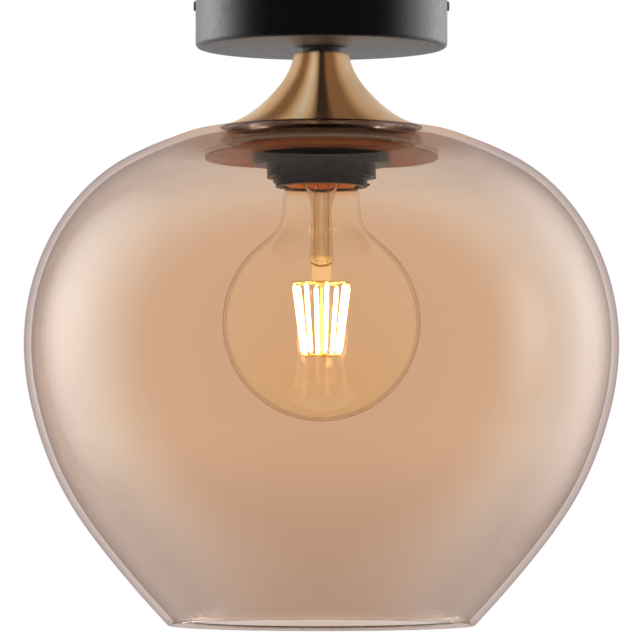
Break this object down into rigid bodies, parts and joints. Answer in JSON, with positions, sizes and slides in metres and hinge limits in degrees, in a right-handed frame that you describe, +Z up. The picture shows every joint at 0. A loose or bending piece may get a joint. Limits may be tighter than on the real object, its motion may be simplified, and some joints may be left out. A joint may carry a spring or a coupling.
{
  "type": "glass ceiling light",
  "caption": "Semi-flush ceiling light: black round canopy, spun copper trumpet and an open tinted glass shade around a screw-in globe lamp.",
  "frame": {"origin": "centre of the two ceiling slots, on the ceiling plane that the canopy's rim and the bracket meet", "axes": "+Z up into the ceiling along the light's axis, X along the bracket through the two ceiling slots, the picture's viewpoint on -Y"},
  "size_m": [0.2404, 0.2404, 0.2591],
  "materials": {
    "canopy_black": "matte black powder coat",
    "collar_black": "matte black",
    "zinc_steel": "zinc-plated pressed steel",
    "nickel_brass": "nickel-plated brass",
    "black_steel": "blackened steel",
    "brushed_copper": "vertically brushed copper-gold, lacquered",
    "plate_copper": "copper-gold lacquer, satin",
    "shade_glass": "clear rose-amber tinted glass",
    "clear_rubber": "clear silicone",
    "holder_plastic": "moulded black, fine satin",
    "white_ceramic": "white, unglazed edges",
    "contact_brass": "stamped, bright",
    "screw_steel": "zinc-plated",
    "block_plastic": "natural nylon",
    "live_brown": "brown sleeving",
    "neutral_blue": "blue sleeving",
    "earth_green": "green-yellow sleeving",
    "eyelet_solder": "tinned",
    "insulator_black": "black vitrite",
    "lamp_cap_metal": "nickel-plated, satin",
    "globe_glass": "thin amber-tinted glass",
    "stem_glass": "clear glass",
    "cage_wire": "bright wire",
    "filament_light": "phosphor-coated, lit",
    "driver_board": "solder-masked board"
  },
  "bodies": {
    "fixture": {"ceiling_bracket": "zinc_steel", "canopy": "canopy_black", "side_screws": "black_steel", "threaded_tube": "nickel_brass", "lock_washer": "zinc_steel", "canopy_nut": "nickel_brass", "trumpet_nut": "nickel_brass", "collar": "collar_black", "trumpet": "brushed_copper", "holder_cap": "holder_plastic", "holder_lock_screw": "black_steel", "holder_sleeve": "holder_plastic", "holder_insert": "white_ceramic", "screw_shell": "contact_brass", "centre_contact": "contact_brass", "shell_contact": "contact_brass", "contact_screws": "screw_steel", "terminal_block": "block_plastic", "block_fixing_screws": "screw_steel", "block_pole_screws": "screw_steel", "earth_screw": "screw_steel", "earth_tag": "contact_brass", "live_wire": "live_brown", "neutral_wire": "neutral_blue", "earth_wire": "earth_green"},
    "support": {"shade_plate": "plate_copper", "shade_gasket": "clear_rubber"},
    "ring": {"shade_ring": "holder_plastic"},
    "shade": {"glass_shade": "shade_glass"},
    "lamp_shift": {"lamp_eyelet": "eyelet_solder", "lamp_insulator": "insulator_black"},
    "lamp": {"lamp_cap": "lamp_cap_metal", "lamp_globe": "globe_glass", "lamp_stem": "stem_glass", "lamp_cage_top": "cage_wire", "lamp_cage_bottom": "cage_wire", "lamp_filaments": "filament_light", "lamp_driver": "driver_board", "lamp_lead_wires": "cage_wire"}
  },
  "joints": [
    {"name": "lamp_travel", "type": "slide", "parent": "fixture", "child": "lamp_shift", "axis": [0, 0, -1], "range_m": [0, 0.01815]},
    {"name": "lamp_turn", "type": "hinge", "parent": "lamp_shift", "child": "lamp", "pos_m": [0, 0, 0], "axis": [0, 0, -1], "range_deg": [0, 1800.5]},
    {"name": "shade_travel", "type": "slide", "parent": "fixture", "child": "support", "axis": [0, 0, -1], "range_m": [0, 0.0125]},
    {"name": "ring_turn", "type": "hinge", "parent": "support", "child": "ring", "pos_m": [0, 0, 0], "axis": [0, 0, -1], "range_deg": [0, 1800]},
    {"name": "shade_turn", "type": "hinge", "parent": "support", "child": "shade", "pos_m": [0, 0, 0], "axis": [0, 0, 1], "continuous": true}
  ],
  "couplings": [
    {"joint": "lamp_turn", "follows": "lamp_travel", "rad_per_m": 1731.4},
    {"joint": "ring_turn", "follows": "shade_travel", "rad_per_m": 2513.3}
  ]
}
